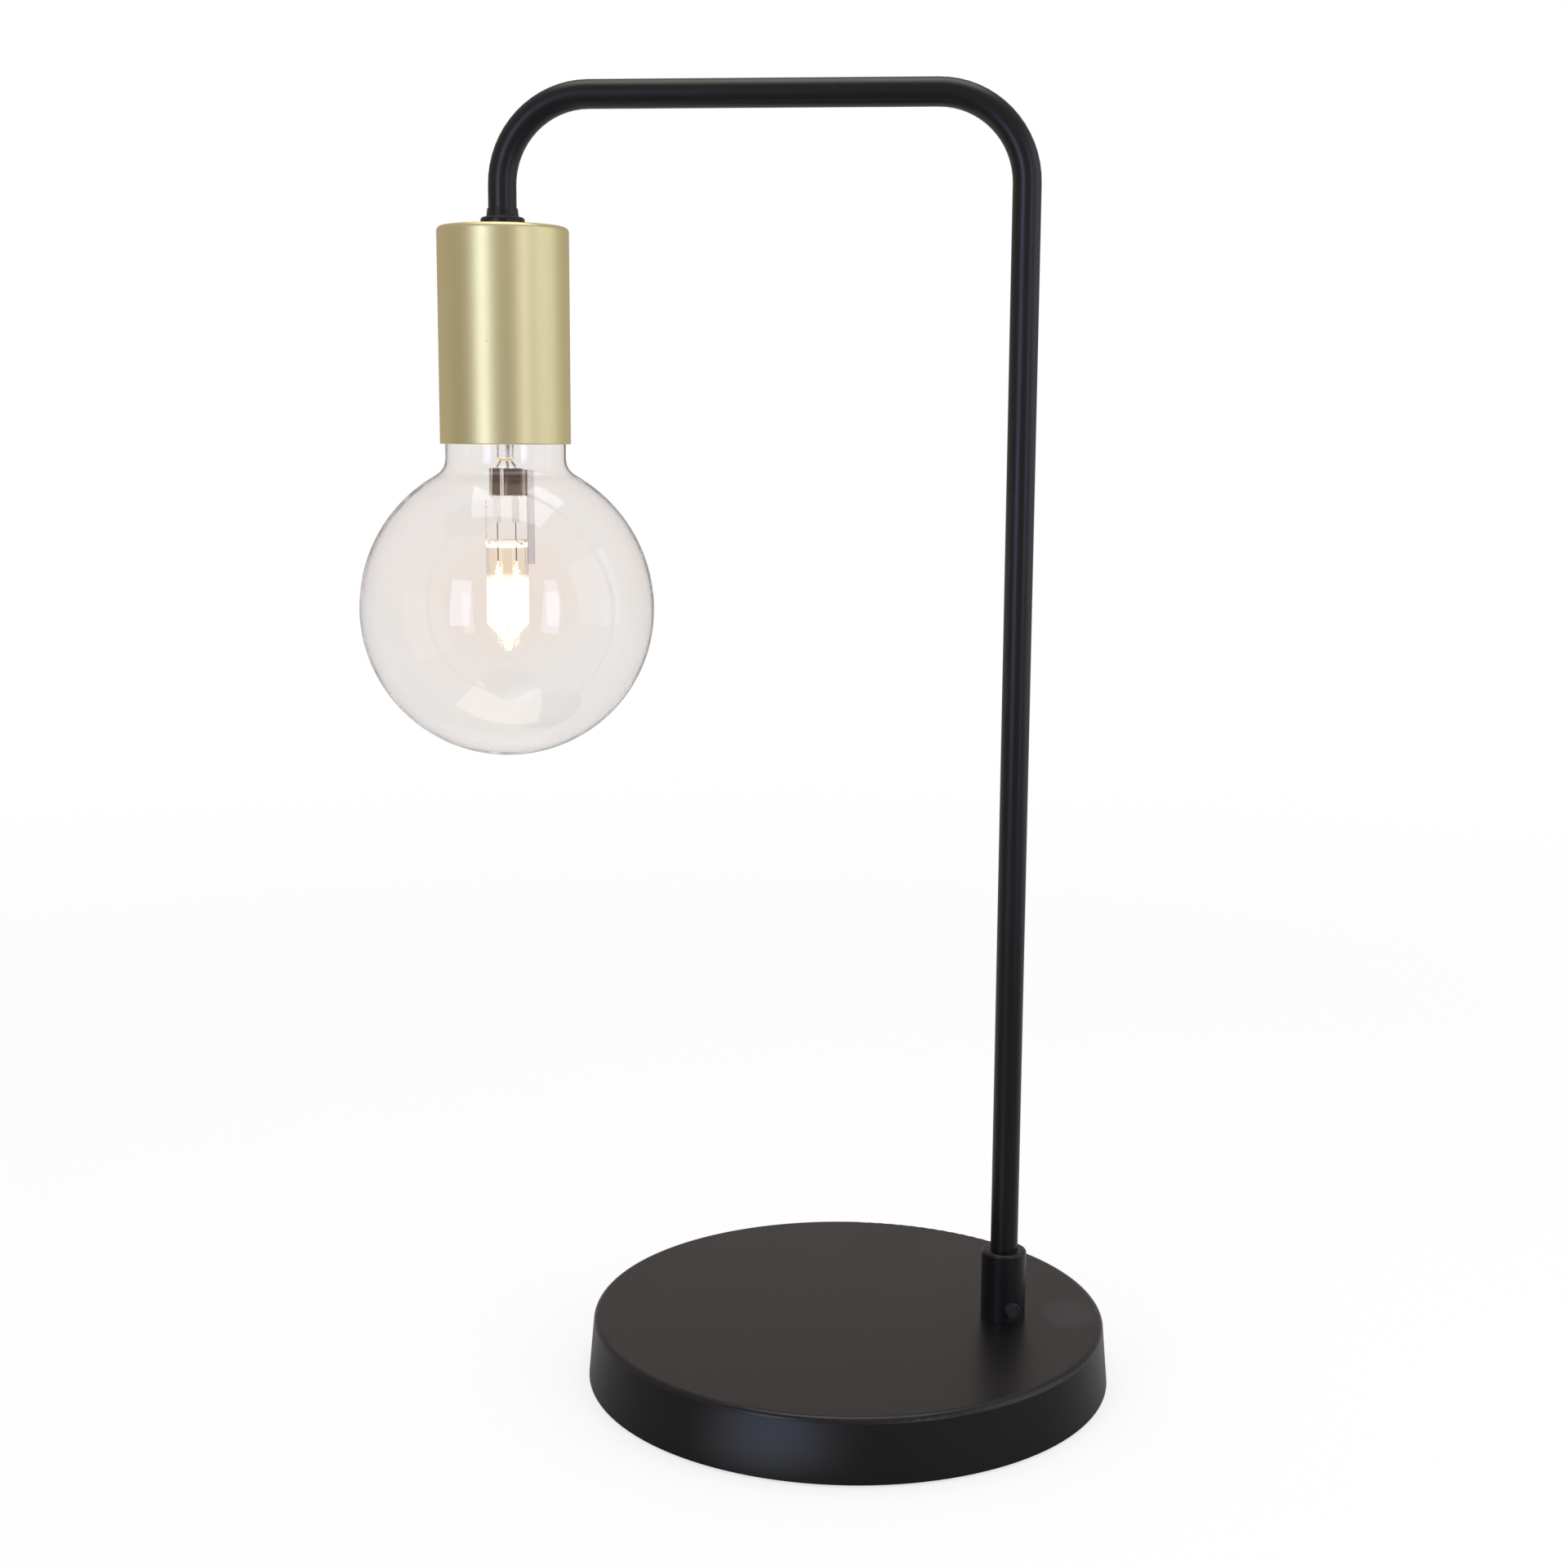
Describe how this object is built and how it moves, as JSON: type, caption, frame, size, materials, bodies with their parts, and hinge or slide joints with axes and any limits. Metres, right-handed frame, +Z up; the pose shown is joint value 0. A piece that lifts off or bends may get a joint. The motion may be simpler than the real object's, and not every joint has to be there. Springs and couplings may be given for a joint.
{
  "type": "table lamp",
  "caption": "Table lamp with a heavy round base, a slender bent tube and a clear globe bulb that hangs bare from a plain cylindrical cup.",
  "frame": {"origin": "centre of the base on the table", "axes": "+Z up; the pole stands towards +X of the base centre and the bulb hangs towards -X"},
  "size_m": [0.2475, 0.174, 0.422],
  "materials": {
    "black_steel": "satin black powder coat",
    "ballast_cement": "cast cement, rough",
    "felt": "dense black felt",
    "zinc_steel": "bright zinc plate",
    "outlet_rubber": "matte",
    "flex_sheath": "smooth sheath",
    "pale_gold": "satin pale gold, fine circular brushing",
    "holder_black": "moulded, heat resistant",
    "insert_ceramic": "unglazed steatite",
    "contact_brass": "bare brass",
    "core_brown": "brown insulation",
    "core_blue": "blue insulation",
    "copper": "bare copper",
    "globe_glass": "clear blown glass",
    "cap_nickel": "bright pressed",
    "cement": "basing cement",
    "black_glass": "black pressed glass",
    "solder": "soldered tip",
    "stem_glass": "clear",
    "nickel_wire": "drawn nickel wire",
    "clip_steel": "bright spring steel",
    "capsule_glass": "clear quartz",
    "molybdenum": "thin foil",
    "tungsten": "glowing"
  },
  "bodies": {
    "lamp": {"base_cover": "black_steel", "pole_collar": "black_steel", "arm_tube": "black_steel", "tube_ferrule": "black_steel", "base_weight": "ballast_cement", "base_pad": "felt", "foot_washer": "zinc_steel", "foot_lock_washer": "zinc_steel", "foot_nut": "zinc_steel", "holder_lock_washer": "zinc_steel", "terminal_screws": "zinc_steel", "contact_rivets": "zinc_steel", "cord_sleeve": "outlet_rubber", "inner_flex": "flex_sheath", "socket_cup": "pale_gold", "holder_cap": "holder_black", "holder_skirt": "holder_black", "holder_insert": "insert_ceramic", "screw_shell": "contact_brass", "centre_contact": "contact_brass", "shell_contact": "contact_brass", "terminal_blocks": "contact_brass", "live_core": "core_brown", "neutral_core": "core_blue", "conductor_ends": "copper"},
    "bulb_carrier": {"bulb_contact": "solder"},
    "bulb": {"glass_globe": "globe_glass", "bulb_cap": "cap_nickel", "cap_cement": "cement", "cap_insulator": "black_glass", "stem_glass": "stem_glass", "lead_wires": "nickel_wire", "support_wire": "nickel_wire", "capsule_clip": "clip_steel", "capsule_glass": "capsule_glass", "capsule_pins": "nickel_wire", "foils": "molybdenum", "filament": "tungsten", "filament_post": "tungsten"}
  },
  "joints": [
    {"name": "bulb_lift", "type": "slide", "parent": "lamp", "child": "bulb_carrier", "axis": [0, 0, -1], "range_m": [0, 0.01452]},
    {"name": "bulb_turn", "type": "hinge", "parent": "bulb_carrier", "child": "bulb", "pos_m": [-0.113, 0, 0.256], "axis": [0, 0, -1], "range_deg": [0, 1440]}
  ],
  "couplings": [
    {"joint": "bulb_lift", "follows": "bulb_turn", "m_per_rad": 0.00057757}
  ]
}
